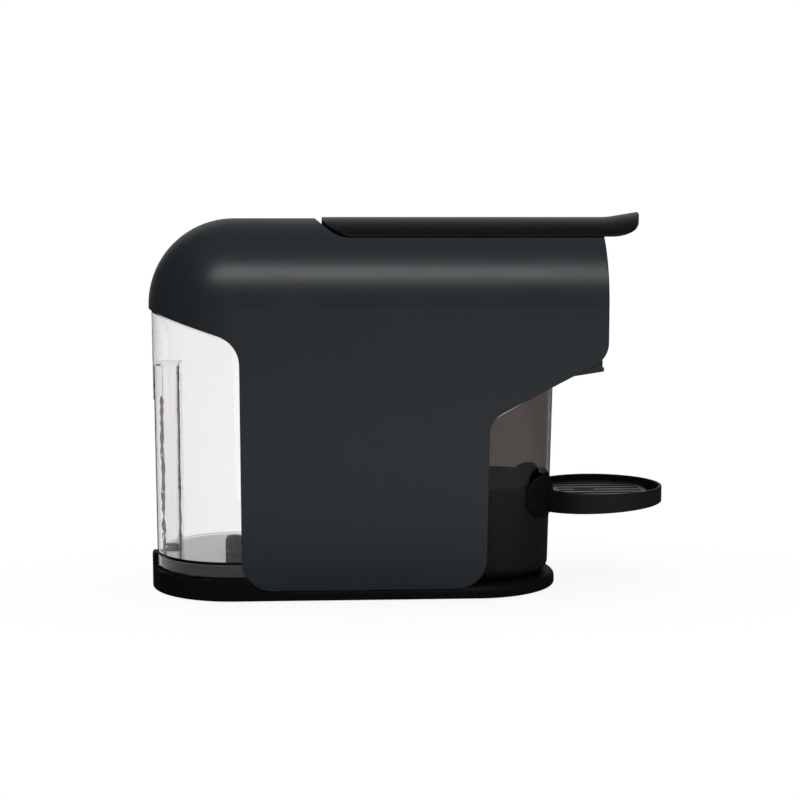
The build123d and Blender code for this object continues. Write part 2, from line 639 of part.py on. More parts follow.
def pump_mounts():
    rings = Part()
    for z0, z1 in ((PUMP_LOW_Z, 70), (114, 122)):
        ring = rod_z(FLOW_X, VALVE_Y, z0, z1, 15) - rod_z(FLOW_X, VALVE_Y, z0 - 1, z1 + 1, 10.2)
        rings += ring
    return rings


def pump_bracket():
    """Folded plate on the bulkhead with a shelf at each end of the pump."""
    y0, y1 = VALVE_Y - 20, VALVE_Y + 20
    plate = block(BULKHEAD_X1, BULKHEAD_X1 + 1.6, y0, y1, 50, 128)
    for z in (PUMP_LOW_Z - 1.6, 122):
        shelf = block(BULKHEAD_X1, FLOW_X + 18, y0, y1, z, z + 1.6)
        plate += shelf - rod_z(FLOW_X, VALVE_Y, z - 1, z + 3, 6 if z < 100 else 10.4)
    return plate


def flow_meter():
    body = rod_z(FLOW_X, VALVE_Y, 24, 46, 13) + rod_z(FLOW_X, VALVE_Y, BASE_TOP_Z, 24, 7)
    body += rod_x(-73, FLOW_X, VALVE_Y, VALVE_Z, BARB_R)
    return body + rod_z(FLOW_X, VALVE_Y, 46, 51.5, BARB_R)


def suction_hose():
    tube = rod_x(BULKHEAD_X1 + 3, FLOW_X - 13.2, VALVE_Y, VALVE_Z, HOSE_R)
    return tube - rod_x(-90, FLOW_X, VALVE_Y, VALVE_Z, BORE_R)


def feed_hose():
    tube = rod_z(FLOW_X, VALVE_Y, 46, 58.6, HOSE_R)
    return tube - rod_z(FLOW_X, VALVE_Y, 45, 60, BORE_R)


def pressure_hose():
    route = (
        (FLOW_X, VALVE_Y, 134),
        (FLOW_X, VALVE_Y, BLOCK_IN_Z),
        (BLOCK_X0 - 4, VALVE_Y, BLOCK_IN_Z),
    )
    return swept_tube(route, TUBE_R, [9])


def brew_hose():
    route = ((OUTLET_X, 0, BLOCK_Z1 + 4), (OUTLET_X, 0, BREW_Z), (-7, 0, BREW_Z))
    return swept_tube(route, TUBE_R, [6])


def inlet_spigot():
    """Tube on the bulkhead that plugs into the tank's valve."""
    tube = rod_x(-97, BULKHEAD_X1, VALVE_Y, VALVE_Z, 4.0)
    tube += rod_x(BULKHEAD_X1, BULKHEAD_X1 + 3, VALVE_Y, VALVE_Z, 9)
    tube += rod_x(BULKHEAD_X1 + 3, -74, VALVE_Y, VALVE_Z, BARB_R)
    tube -= rod_x(SEAL_X - 1, SEAL_X + 1, VALVE_Y, VALVE_Z, 5) - rod_x(-97, -90, VALVE_Y, VALVE_Z, 3.5)
    return tube - rod_x(-100, -70, VALVE_Y, VALVE_Z, 1.8)


def spigot_seal():
    return Pos(SEAL_X, VALVE_Y, VALVE_Z) * Rot(0, 90, 0) * Torus(4.48, 0.95)


def tank_form(inset, z0, z1, x_front):
    """D-shaped body whose round back leans out a little, as the mould's draft leaves it."""

    def plan(z):
        lean = TANK_LEAN * (z - BASE_REAR_Z) / (TANK_RIM_Z - BASE_REAR_Z)
        return Plane.XY.offset(z) * d_plan(TANK_R - inset, x_front, DOME_X - lean)

    return loft([plan(z0), plan(z1)], ruled=True)


def grip_plug(grow, z0, z1):
    """Upright channel that fingers reach into at the back of the tank."""
    far_x = -190.0
    length = GRIP_X + grow - far_x
    plan = Pos(far_x + length / 2, 0) * RectangleRounded(length, 2 * (GRIP_HALF + grow), 3 + grow)
    return rise_xy(plan, z0, z1)


def water_tank():
    """Clear D-shaped tank with a slanted open top, a skirt and a grip channel down its back."""
    low_z, high_z = BASE_REAR_Z, 230.0
    tank = tank_form(0, low_z, high_z, TANK_FRONT_X)
    line = ((-190, rim_z(-190, 1)), (-60, rim_z(-60, 1)), (-60, 0), (-190, 0))
    tank &= rise_xz(make_face(Polyline(*line, close=True)), -70, 70)
    inside = tank_form(TANK_WALL, TANK_FLOOR_Z, high_z, TANK_FRONT_X - TANK_WALL)
    tank -= inside - grip_plug(GRIP_WALL, 0, GRIP_TOP_Z + GRIP_WALL)
    tank -= tank_form(TANK_WALL, low_z - 1, TANK_FLOOR_Z - TANK_WALL, TANK_FRONT_X + 5)
    tank -= grip_plug(0, low_z - 1, GRIP_LIP_Z)
    tank -= grip_plug(0, low_z, GRIP_TOP_Z) & tank_form(TANK_WALL, low_z, high_z, TANK_FRONT_X)
    return tank - rod_x(-100, -80, VALVE_Y, VALVE_Z, 6.9)


def tank_valve_body():
    """Sleeve through the tank's front wall: socket for the spigot, seat web and spring chamber."""
    sleeve = rod_x(VALVE_END_X, -86.8, VALVE_Y, VALVE_Z, 6.8) + rod_x(-92, -90, VALVE_Y, VALVE_Z, 7.4)
    sleeve -= rod_x(-100, -80, VALVE_Y, VALVE_Z, 5.5)
    sleeve -= rod_x(-115, -102, VALVE_Y, VALVE_Z, 5.3)
    return sleeve - rod_x(-115, -80, VALVE_Y, VALVE_Z, 3.2)


def valve_poppet():
    head = rod_x(-104.5, -102, VALVE_Y, VALVE_Z, 4.6)
    return head + rod_x(-102, -97.4, VALVE_Y, VALVE_Z, 1.6)


def tank_filter():
    """Low slotted strainer on the tank's floor, plugged into the inner end of the valve."""
    wall = 1.2
    middle = (FILTER_X, VALVE_Y)
    cup = rod_z(*middle, TANK_FLOOR_Z, FILTER_TOP_Z, FILTER_R)
    cup = fillet(cup.edges().group_by(Axis.Z)[-1], 1.1)
    cup += rod_x(FILTER_X, VALVE_END_X, VALVE_Y, VALVE_Z, 2.9)
    cup += rod_x(VALVE_END_X, VALVE_END_X + 2.5, VALVE_Y, VALVE_Z, 5.2)
    cup -= rod_z(*middle, TANK_FLOOR_Z + wall, FILTER_TOP_Z - wall, FILTER_R - wall)
    cup -= rod_x(FILTER_X, VALVE_END_X + 5, VALVE_Y, VALVE_Z, 1.7)
    slot_z = (TANK_FLOOR_Z + FILTER_TOP_Z) / 2
    for i in range(1, 8):
        cup -= Pos(*middle, slot_z) * Rot(0, 0, 45 * i) * Pos(FILTER_R, 0, 0) * Box(4, 1.5, 6)
    return cup


def tub_plan(z, inset):
    radius = tub_radius(z) - inset
    rear = TUB_REAR_X + inset
    corner = 12.0 - inset
    arc = ThreePointArc((TUB_X, -radius), (TUB_X + radius, 0), (TUB_X, radius))
    back = FilletPolyline(
        (TUB_X, radius), (rear, radius), (rear, -radius), (TUB_X, -radius), radius=[corner, corner]
    )
    return Plane.XY.offset(z) * make_face(arc + back)


def tub(z0, z1, inset):
    return loft([tub_plan(z0, inset), tub_plan(z1, inset)], ruled=True)


def drip_basin():
    """Black lower half of the drawer, with the rail that carries the cup tray."""
    basin = tub(TUB_LOW_Z, SPLIT_Z, 0)
    basin = fillet(basin.edges().group_by(Axis.Z)[0], 8)
    inside = tub(TUB_LOW_Z + TUB_WALL, SPLIT_Z + 1, TUB_WALL)
    basin -= fillet(inside.edges().group_by(Axis.Z)[0], 8 - TUB_WALL)
    rail_x = TUB_X + tub_radius(60)
    stem = block(rail_x - 1.2, RAIL_HEAD_X, -2.5, 2.5, RAIL_Z0, RAIL_Z1)
    head = block(RAIL_HEAD_X, RAIL_HEAD_X + 1.6, -6, 6, RAIL_Z0, RAIL_Z1)
    return basin + stem + head


def capsule_bin():
    """Smoked sleeve that stands on the basin, its rim cut to the slant of the head above."""
    bin_ = tub(SPLIT_Z, 160, 0) - tub(SPLIT_Z - 1, 161, TUB_WALL)
    rim = LINER_ROOF_Z - RIM_GAP
    rim_front = rim + BAY_SLOPE * (120 - LINER_BEND_X)
    line = ((-30, rim), (LINER_BEND_X, rim), (120, rim_front), (120, 0), (-30, 0))
    bin_ &= rise_xz(make_face(Polyline(*line, close=True)), -60, 60)
    ledge = tub(SPLIT_Z, SPLIT_Z + 1.5, TUB_WALL - 0.5) + tub(SPLIT_Z - 4, SPLIT_Z, TUB_WALL + 0.5)
    return bin_ + (ledge - tub(SPLIT_Z - 5, SPLIT_Z + 3, TUB_WALL + 2.2))


def strainer_plate():
    """Slotted floor of the bin, through which drips run down into the basin."""
    low = SPLIT_Z + 1.5
    plate = tub(low, low + 2, TUB_WALL + 0.4)
    for i in range(5):
        slot = Pos(i * 18, 0) * SlotOverall(56, 8, rotation=90)
        plate -= rise_xy(slot, low - 1, low + 3)
    return plate


def tray_low(x):
    """Underside of the tray, which rises towards the front."""
    share = (x - (TRAY_X - TRAY_R)) / (2 * TRAY_R)
    return TRAY_TOP_Z - TRAY_REAR_H + share * (TRAY_REAR_H - TRAY_FRONT_H)


def cup_tray():
    """Round dish with a thin rim and the saddle that slides down over the basin's rail."""
    x0, x1 = TRAY_X - TRAY_R - 10, TRAY_X + TRAY_R + 10
    wedge = ((x0, tray_low(x0)), (x1, tray_low(x1)), (x1, 100), (x0, 100))
    dish = rod_z(TRAY_X, 0, 40, TRAY_TOP_Z, TRAY_R)
    dish &= rise_xz(make_face(Polyline(*wedge, close=True)), -60, 60)
    floor = ((x0, tray_low(x0) + 2), (x1, tray_low(x1) + 2), (x1, 100), (x0, 100))
    hollow = rod_z(TRAY_X, 0, 40, GRILLE_TOP_Z - GRILLE_T, TRAY_R - TRAY_WALL - 2)
    hollow &= rise_xz(make_face(Polyline(*floor, close=True)), -60, 60)
    hollow += rod_z(TRAY_X, 0, GRILLE_TOP_Z - GRILLE_T, 90, TRAY_R - TRAY_WALL)
    outer_r = SADDLE_R + SADDLE_T
    ear_mid = Pos((EAR_Y0 + EAR_Y1) / 2, (EAR_LOW_Z + EAR_HIGH_Z) / 2)
    ear = ear_mid * SlotOverall(EAR_HIGH_Z - EAR_LOW_Z, EAR_Y1 - EAR_Y0, rotation=90)
    ears = both_sides(rise_yz(ear, TUB_X, TUB_X + 80)) & rod_z(TUB_X, 0, EAR_LOW_Z, EAR_HIGH_Z, outer_r)
    hollow -= rod_z(TUB_X, 0, 40, 90, outer_r)
    hollow -= block(95, RAIL_HEAD_X + 4.6, -9.5, 9.5, 40, GRILLE_TOP_Z - GRILLE_T)
    dish = fillet((dish - hollow).edges().group_by(Axis.Z)[-1].filter_by(GeomType.CIRCLE), 0.7)
    tray = dish + ears
    tray -= rod_z(TUB_X, 0, 30, 90, SADDLE_R)
    tray -= block(RAIL_HEAD_X - 0.35, RAIL_HEAD_X + 2.2, -6.6, 6.6, 40, RAIL_Z1)
    return tray - block(90, RAIL_HEAD_X + 1, -3.1, 3.1, 40, RAIL_Z1)


def grille_slots(radius, rear_r):
    """Slots along X, each as long as the grille allows at its place."""
    slots = []
    for i in range(8):
        y = (i - 3.5) * BAR_PITCH
        reach = abs(y) + SLOT_W / 2
        chord = math.sqrt((radius - GRILLE_RIM) ** 2 - reach**2)
        rear = max(TRAY_X - chord, TUB_X + math.sqrt((rear_r + GRILLE_RIM) ** 2 - (reach - SLOT_W) ** 2))
        front = min(TRAY_X + chord, GRILLE_FRONT_X - GRILLE_RIM)
        slots.append(Pos((rear + front) / 2, y) * SlotOverall(front - rear, SLOT_W))
    return Sketch() + slots


def tray_grille():
    """Lift-out grille of bars along X inside a thin rim, cut off straight at the front for a finger."""
    low, high = GRILLE_TOP_Z - GRILLE_T, GRILLE_TOP_Z
    radius = TRAY_R - TRAY_WALL - 0.5
    rear_r = SADDLE_R + SADDLE_T + 0.6
    face = Pos(TRAY_X) * Circle(radius) - Pos(TUB_X) * Circle(rear_r)
    face -= Pos(GRILLE_FRONT_X + 10, 0) * Rectangle(20, 2 * TRAY_R)
    face -= grille_slots(radius, rear_r)
    face -= Pos(TRAY_X - 9, 0) * SlotOverall(14, 2.4)
    grille = rise_xy(face, low, high)
    slot_edges = [edge for wire in grille.faces().sort_by(Axis.Z)[-1].inner_wires() for edge in wire.edges()]
    return fillet(slot_edges, 0.5)


def control_board():
    return block(BULKHEAD_X1, LINER_REAR_X, 46, 47.6, 58, 122)


def board_components():
    """Relay, transformer, capacitors and connector on the control board."""
    relay = block(-76, -58, 31, 46, 64, 80) + block(-52, -30, 28, 46, 62, 84)
    for x in (-72, -60, -48):
        relay += rod_y(x, 34, 46, 98, 5)
    return relay + block(-40, -30, 38, 46, 92, 114)


def button_board():
    return block(BOARD_X, BOARD_X + 1.6, -29, 29, 197, 225)


def button_switches():
    top = BOARD_X + 1.6
    return Part() + [
        block(top, top + 2, y - 3, y + 3, BUTTON_Z - 3, BUTTON_Z + 3)
        + rod_x(top + 2, top + 2.7, y, BUTTON_Z, 1.7)
        for y in BUTTON_Y
    ]


def button(y):
    """Cap with a retaining flange behind the fascia and a stem to its switch."""
    cap = rod_x(FASCIA_X0 - 2.5, FASCIA_X1 + 0.9, y, BUTTON_Z, BUTTON_R)
    cap = fillet(cap.edges().group_by(Axis.X)[-1], 0.8)
    cap += rod_x(FASCIA_X0 - 2.5, FASCIA_X0, y, BUTTON_Z, BUTTON_R + 1.2)
    return cap + rod_x(BOARD_X + 5.8, FASCIA_X0 - 2.5, y, BUTTON_Z, 2)


NODES = {
    "main_shell": main_shell,
    "base_plate": base_plate,
    "cord_gland": cord_gland,
    "rubber_feet": rubber_feet,
    "base_screws": base_screws,
    "rear_bulkhead": rear_bulkhead,
    "bay_liner": bay_liner,
    "front_fascia": front_fascia,
    "outlet_cover": outlet_cover,
    "coffee_spout": coffee_spout,
    "coffee_duct": coffee_duct,
    "brew_frame": brew_frame,
    "top_deck": top_deck,
    "extraction_plate": extraction_plate,
    "extraction_seal": extraction_seal,
    "lever_pin": lever_pin,
    "lever_cap": lever_cap,
    "lever_cams": lever_cams,
    "brew_piston": brew_piston,
    "piston_pin": piston_pin,
    "piston_seal": piston_seal,
    "piercing_pins": piercing_pins,
    "thermoblock": thermoblock,
    "heating_element": heating_element,
    "thermostat": thermostat,
    "pump_body": pump_body,
    "pump_coil": pump_coil,
    "pump_mounts": pump_mounts,
    "pump_bracket": pump_bracket,
    "flow_meter": flow_meter,
    "suction_hose": suction_hose,
    "feed_hose": feed_hose,
    "pressure_hose": pressure_hose,
    "brew_hose": brew_hose,
    "inlet_spigot": inlet_spigot,
    "spigot_seal": spigot_seal,
    "water_tank": water_tank,
    "tank_valve_body": tank_valve_body,
    "valve_poppet": valve_poppet,
    "tank_filter": tank_filter,
    "drip_basin": drip_basin,
    "capsule_bin": capsule_bin,
    "strainer_plate": strainer_plate,
    "cup_tray": cup_tray,
    "tray_grille": tray_grille,
    "control_board": control_board,
    "board_components": board_components,
    "button_board": button_board,
    "button_switches": button_switches,
    "button_near": lambda: button(BUTTON_Y[0]),
    "button_middle": lambda: button(BUTTON_Y[1]),
    "button_far": lambda: button(BUTTON_Y[2]),
}


def main():
    os.makedirs("parts", exist_ok=True)
    for name, make in NODES.items():
        export_step(make(), f"parts/{name}.step")


main()
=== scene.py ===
# %% [markdown]
# # A slim pod coffee machine
# The machine is a tall arched body with a black lever along its top, a clear water tank behind,
# a smoked drawer for used capsules in front and a round tray for the cup. Every solid piece comes
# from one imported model, in metres: +X points to the cup, +Y away from the camera and +Z up. Here
# the pieces get their finishes, small turned and threaded parts get their real surfaces, and a
# plain studio is set round them.

import json
import math

import bpy
import numpy as np
from mathutils import Matrix, Vector


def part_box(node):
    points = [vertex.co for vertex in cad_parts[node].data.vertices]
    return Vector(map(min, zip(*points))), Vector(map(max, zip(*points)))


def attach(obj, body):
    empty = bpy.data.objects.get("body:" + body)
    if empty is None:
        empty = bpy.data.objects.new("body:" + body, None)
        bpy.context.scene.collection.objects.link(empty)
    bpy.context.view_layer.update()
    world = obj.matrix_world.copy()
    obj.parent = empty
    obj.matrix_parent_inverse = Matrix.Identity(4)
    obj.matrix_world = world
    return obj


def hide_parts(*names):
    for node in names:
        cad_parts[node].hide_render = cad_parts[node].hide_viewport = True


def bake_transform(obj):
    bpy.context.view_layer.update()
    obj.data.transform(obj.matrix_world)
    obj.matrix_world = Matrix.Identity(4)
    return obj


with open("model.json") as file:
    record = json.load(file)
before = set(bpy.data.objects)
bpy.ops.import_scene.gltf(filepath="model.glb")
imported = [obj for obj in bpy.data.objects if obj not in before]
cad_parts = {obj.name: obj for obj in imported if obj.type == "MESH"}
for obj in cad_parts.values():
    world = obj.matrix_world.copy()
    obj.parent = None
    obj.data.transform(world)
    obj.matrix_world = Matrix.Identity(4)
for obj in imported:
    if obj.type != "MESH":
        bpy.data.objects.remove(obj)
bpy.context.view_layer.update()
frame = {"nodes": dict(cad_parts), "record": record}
nodes = frame["nodes"]
scene = bpy.context.scene
scene.view_settings.view_transform = "Standard"

# %% [markdown]
# ## Writing shaders as sums
# A finish is a network of nodes, but it reads best as arithmetic. `Value` wraps one output socket
# and overloads the operators, so `0.4 + 0.1 * speckle` adds the two Math nodes by itself. `Finish`
# holds a material and has one method for every other kind of node.


# %% Value and Finish
class Value:
    """A socket that can be added, subtracted and multiplied."""

    def __init__(self, finish, socket):
        self.finish = finish
        self.socket = socket

    def math(self, operation, first, second):
        return self.finish.add("Math", {"operation": operation}, {0: first, 1: second})

    def __add__(self, other):
        return self.math("ADD", self, other)

    def __sub__(self, other):
        return self.math("SUBTRACT", self, other)

    def __rsub__(self, other):
        return self.math("SUBTRACT", other, self)

    def __mul__(self, other):
        return self.math("MULTIPLY", self, other)

    __radd__ = __add__
    __rmul__ = __mul__


MIX_FIRST, MIX_SECOND, MIX_RESULT = 6, 7, 2  # the colour sockets of a Mix node
AFTER_MIRROR = 0.9  # how white the room stays to a ray that met a mirror before a clear wall


class Finish:
    """A node tree that grows by one method."""

    def __init__(self, owner):
        owner.use_nodes = True
        self.owner = owner
        self.tree = owner.node_tree
        self.tree.nodes.clear()

    def add(self, kind, settings, sockets, out=0):
        """Adds a node: settings are set first, then each socket gets a link or a plain value."""
        node = self.tree.nodes.new("ShaderNode" + kind)
        for key, setting in settings.items():
            setattr(node, key, setting)
        for key, value in sockets.items():
            if isinstance(value, Value):
                self.tree.links.new(value.socket, node.inputs[key])
            else:
                node.inputs[key].default_value = value
        return Value(self, node.outputs[out]) if node.outputs else None

    def place(self):
        """Object coordinates, which are the machine's own metres."""
        return self.add("TexCoord", {}, {}, "Object")

    def noise(self, grain, detail=2.0, rough=0.5, stretch=(1.0, 1.0, 1.0)):
        """Soft random field, near 0.5, whose blotches are about grain metres wide."""
        where = self.add("Mapping", {}, {"Vector": self.place(), "Scale": stretch})
        sockets = {"Vector": where, "Scale": 1.0 / grain, "Detail": detail, "Roughness": rough}
        return self.add("TexNoise", {}, sockets)

    def blend(self, share, first, second):
        """Colour between two colours."""
        sockets = {"Factor": share, MIX_FIRST: first, MIX_SECOND: second}
        return self.add("Mix", {"data_type": "RGBA"}, sockets, MIX_RESULT)

    def bump(self, height, depth):
        """Normal of a surface that rises by depth metres where height goes from 0 to 1."""
        return self.add("Bump", {}, {"Height": height, "Distance": depth, "Strength": 1.0})

    def ramp(self, value, low, high):
        """Smooth step from 0 at low to 1 at high."""
        ends = {"Value": value, "From Min": low, "From Max": high}
        return self.add("MapRange", {"interpolation_type": "SMOOTHSTEP"}, ends)

    def axis(self, vector, number):
        """One of the three numbers of a vector."""
        return self.add("SeparateXYZ", {}, {"Vector": vector}, number)

    def length(self, vector):
        """Distance from the origin."""
        return self.add("VectorMath", {"operation": "LENGTH"}, {0: vector}, "Value")

    def seen(self):
        """1 on rays from the camera, straight or through clear walls; less after a mirror."""
        camera = self.add("LightPath", {}, {}, "Is Camera Ray")
        through = self.add("LightPath", {}, {}, "Is Transmission Ray")
        mirrors = self.add("LightPath", {}, {}, "Glossy Depth")
        straight = self.add("Math", {"operation": "LESS_THAN"}, {0: mirrors, 1: 0.5})
        share = through * (AFTER_MIRROR + (1 - AFTER_MIRROR) * straight)
        return self.add("Math", {"operation": "MAXIMUM"}, {0: camera, 1: share})

    def show(self, sockets):
        """Principled shader to the output."""
        shader = self.add("BsdfPrincipled", {}, sockets)
        self.add("OutputMaterial", {}, {"Surface": shader})
        return self.owner


def grey(red, green=None, blue=None):
    """Linear colour from screen values of 0 to 255, by the curve that screens use."""
    screen = np.array([red, red if green is None else green, red if blue is None else blue]) / 255
    low, high = screen / 12.92, ((screen + 0.055) / 1.055) ** 2.4
    return (*np.where(screen > 0.04045, high, low).tolist(), 1.0)


print("shader helpers ready")

# %% [markdown]
# ## Moulded plastic
# Nearly everything that shows is injection-moulded. The mould's spark-eroded skin leaves a very fine
# grain, and the surface is never quite even: it is a little shinier where the plastic pressed
# hardest. One function gives that, with a fine bump for the grain and a broad blotch for the rest.
# Two pieces get painted shade where they would lie in shade: a near-black tone on a rougher surface, on
# the tray inside and where it hugs the drawer, and on the walls of the grille's slots. Each has a mask
# that is 1 there.


# %% Moulded plastic and its painted shade
BLOTCH = 0.05  # width of the broad blotches, in metres
BLOTCH_SHARE = 0.7  # how much of the tone follows the blotches, and not the grain
GLOSS_SPREAD = 0.06
# painted shade: the near-black tone, with a rough surface, that the masks below put on the tray and
# grille
PAINTED_SHADE_TONE, DULL_ROUGH = grey(3), 0.9


def moulded(name, dark, light, rough, grain=0.0004, depth=0.00002, specular=0.5, painted_shade=None):
    """Plastic between two tones; grain and depth are the width and height of its skin in metres."""
    finish = Finish(bpy.data.materials.new(name))
    broad = finish.noise(BLOTCH, 3.0)
    fine = finish.noise(grain, 2.0, 0.6)
    tone = finish.blend(broad * BLOTCH_SHARE + fine * (1 - BLOTCH_SHARE), dark, light)
    gloss = rough - GLOSS_SPREAD + 2 * GLOSS_SPREAD * broad
    # painted shade: where the mask is 1 the tone goes near black and the surface rough
    if painted_shade:
        shade_mask = painted_shade(finish)
        tone = finish.blend(shade_mask, tone, PAINTED_SHADE_TONE)
        gloss = gloss + shade_mask * (DULL_ROUGH - gloss)
    sockets = {
        "Base Color": tone,
        "Roughness": gloss,
        "Specular IOR Level": specular,
        "Normal": finish.bump(fine, depth),
    }
    return finish.show(sockets)


TRAY_R = (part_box("cup_tray")[1][1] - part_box("cup_tray")[0][1]) / 2
TRAY_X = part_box("cup_tray")[1][0] - TRAY_R
TRAY_RIM = (0.0023, 0.0018)  # the rim's inner edge, measured in from the tray's outer face
BRACKET_END = (0.099, 0.104)  # where, along X, the bracket ends and the ring stands clear
UPWARD = (0.3, 0.9)


def tray_inside(finish):
    """Mask of painted shade: all of the tray but the outer face and rim of its ring, clear of the
    drawer.
    """
    flat = {"Vector": finish.place(), "Location": (-TRAY_X, 0.0, 0.0), "Scale": (1.0, 1.0, 0.0)}
    away = finish.length(finish.add("Mapping", {}, flat))
    clear = finish.ramp(finish.axis(finish.place(), 0), *BRACKET_END)
    return 1 - clear * finish.ramp(away, *(TRAY_R - inset for inset in TRAY_RIM))


def slot_walls(finish):
    """Mask of painted shade: faces that don't look up."""
    normal = finish.add("TexCoord", {}, {}, "Normal")
    return 1 - finish.ramp(finish.axis(normal, 2), *UPWARD)


print(f"tray of radius {TRAY_R:.4f} m, round x = {TRAY_X:.4f} m")

# %% Plastics of this machine
SHELL = moulded("shell_satin", grey(27, 33, 36), grey(31, 37, 40), 0.34, grain=0.0003, depth=0.000004)
BLACK = moulded("black_matte", grey(10), grey(14), 0.5, grain=0.0005, depth=0.000006, specular=0.25)
BASE = moulded("base_black", grey(9), grey(13), 0.5, grain=0.0005, depth=0.000002, specular=0.12)
LEVER = moulded("lever_black", grey(4), grey(6), 0.25, depth=0.000003, specular=0.25)
BASIN = moulded("basin_black", grey(15), grey(19), 0.45, grain=0.0005, depth=0.000005, specular=0.35)
# the tray takes painted shade inside its ring and on the bracket that hugs the drawer
TRAY = moulded("tray_black", grey(9), grey(13), 0.4, depth=0.000004, specular=0.35, painted_shade=tray_inside)
# the grille takes painted shade on the walls of its slots
GRILLE = moulded("grille_black", grey(14), grey(19), 0.22, depth=0.000003, painted_shade=slot_walls)
MESH = moulded("mesh_grey", grey(38), grey(46), 0.6, grain=0.0005, depth=0.00001)
STRAINER = moulded("strainer_black", grey(8), grey(12), 0.85, grain=0.0008, depth=0.00001, specular=0.0)
BUTTON = moulded("button_black", grey(30), grey(38), 0.3, grain=0.0005, depth=0.00001)
NYLON = moulded("nylon_grey", grey(95), grey(110), 0.5, grain=0.0008, depth=0.00005)
RUBBER = moulded("rubber_black", grey(22), grey(30), 0.75, grain=0.0006, depth=0.00005, specular=0.3)
HOSE = moulded("silicone_milky", grey(205, 204, 196), grey(220, 219, 212), 0.45, grain=0.001)
BOARD = moulded("board_green", grey(20, 70, 42), grey(28, 88, 52), 0.35, grain=0.002)
print("plastics ready")

# %% [markdown]
# ## Metals
# The hidden pins, plates and pump are drawn or pressed steel, whose fine lines run one way, and the
# heater is a sand-grained casting. A noise that is stretched along one axis makes the drawn lines.


# %% Metals
DARKER, LIGHTER = 18, 12  # how far the tone strays, in screen values
LINE_SHARE, CLOUD_SHARE = 0.6, 0.4
LINE_SPREAD, LINE_DEPTH = 0.08, 0.00001


def drawn_metal(name, tone, rough, stretch, grain=0.0005):
    """Metal whose tone, polish and height all follow one stretched noise."""
    finish = Finish(bpy.data.materials.new(name))
    lines = finish.noise(grain, 3.0, 0.6, stretch)
    cloud = finish.noise(0.03, 2.0)
    share = LINE_SHARE * lines + CLOUD_SHARE * cloud
    sockets = {
        "Base Color": finish.blend(share, grey(tone - DARKER), grey(tone + LIGHTER)),
        "Metallic": 1.0,
        "Roughness": rough - LINE_SPREAD + 2 * LINE_SPREAD * lines,
        "Normal": finish.bump(lines, LINE_DEPTH),
    }
    return finish.show(sockets)


STEEL = drawn_metal("drawn_steel", 185, 0.3, (0.06, 1.0, 1.0))
CASTING = drawn_metal("cast_aluminium", 190, 0.5, (1.0, 1.0, 1.0), grain=0.0015)
print("metals ready")

# %% [markdown]
# ## Clear and smoked plastic
# The tank is clear and the capsule bin is smoked, so both are refracting solids with real walls. The
# bin's tint sits in the shader's colour, which each wall multiplies in. Where a wall is seen at a
# slant, light has a longer way through it, so the tint deepens towards the edges.


# %% Clear plastics
CLOUD = 0.04  # width of the faint clouds in the tint, in metres
SLANT = (0.45, 0.8)  # how slanted a wall is where the edge tint starts and where it is full


def clear_plastic(name, thin, thick, edge, rough, bending):
    """See-through plastic, clouded between two tints, with a third on walls seen at a slant."""
    finish = Finish(bpy.data.materials.new(name))
    tint = finish.blend(finish.noise(CLOUD, 2.0), thin, thick)
    facing = finish.add("LayerWeight", {}, {"Blend": 0.5}, "Facing")
    sockets = {
        "Base Color": finish.blend(finish.ramp(facing, *SLANT), tint, edge),
        "Transmission Weight": 1.0,
        "Roughness": rough,
        "IOR": bending,
    }
    return finish.show(sockets)


CLEAR_TINTS = grey(251, 250, 250), grey(255, 254, 254), grey(243, 242, 240)
SMOKED_TINTS = grey(134, 129, 126), grey(142, 137, 133), grey(98, 95, 93)
CLEAR = clear_plastic("tank_clear", *CLEAR_TINTS, rough=0.0, bending=1.49)
SMOKED = clear_plastic("bin_smoked", *SMOKED_TINTS, rough=0.01, bending=1.36)
print("clear plastics ready")

# %% [markdown]
# ## Which piece gets which finish
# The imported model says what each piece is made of, and most pieces take the finish of that material.
# A few that show have a finish of their own, because the same black plastic is shinier on the lever
# than on the base. One table by piece, with one by material behind it, keeps the choice in one place.

# %% Give each piece its finish
FINISHES = {
    "base_plate": BASE,
    "lever_cap": LEVER,
    "cup_tray": TRAY,
    "drip_basin": BASIN,
    "tray_grille": GRILLE,
    "strainer_plate": STRAINER,
    "front_fascia": SHELL,
    "water_tank": CLEAR,
    "capsule_bin": SMOKED,
}
BY_SLOT = {
    "shell": SHELL,
    "black_plastic": BLACK,
    "grille_plastic": GRILLE,
    "button_plastic": BUTTON,
    "clear_plastic": CLEAR,
    "smoked_plastic": SMOKED,
    "rubber": RUBBER,
    "hose": HOSE,
    "nylon": NYLON,
    "steel": STEEL,
    "cast_aluminium": CASTING,
    "circuit_board": BOARD,
}
for part in frame["record"]["subparts"]:
    finish = FINISHES.get(part["node"], BY_SLOT[part["material_slot"]])
    nodes[part["node"]].data.materials[0] = finish
print("finishes set on", len(nodes), "pieces")

# %% [markdown]
# ## Small round pieces
# Screws, feet, the bush for the lead, the strainer and the hose to the piston are round.
# Each is a grid of points: columns go round an axis or a path, and rows go along a profile. Spinning
# a curve by hand would give the plain ones, but a formula also gives threads, ribs and rings.

# %% Grids of points
TURN = np.linspace(0.0, 2.0 * np.pi, 64, endpoint=False)
AROUND = np.ones_like(TURN)
SHARP = math.radians(35)


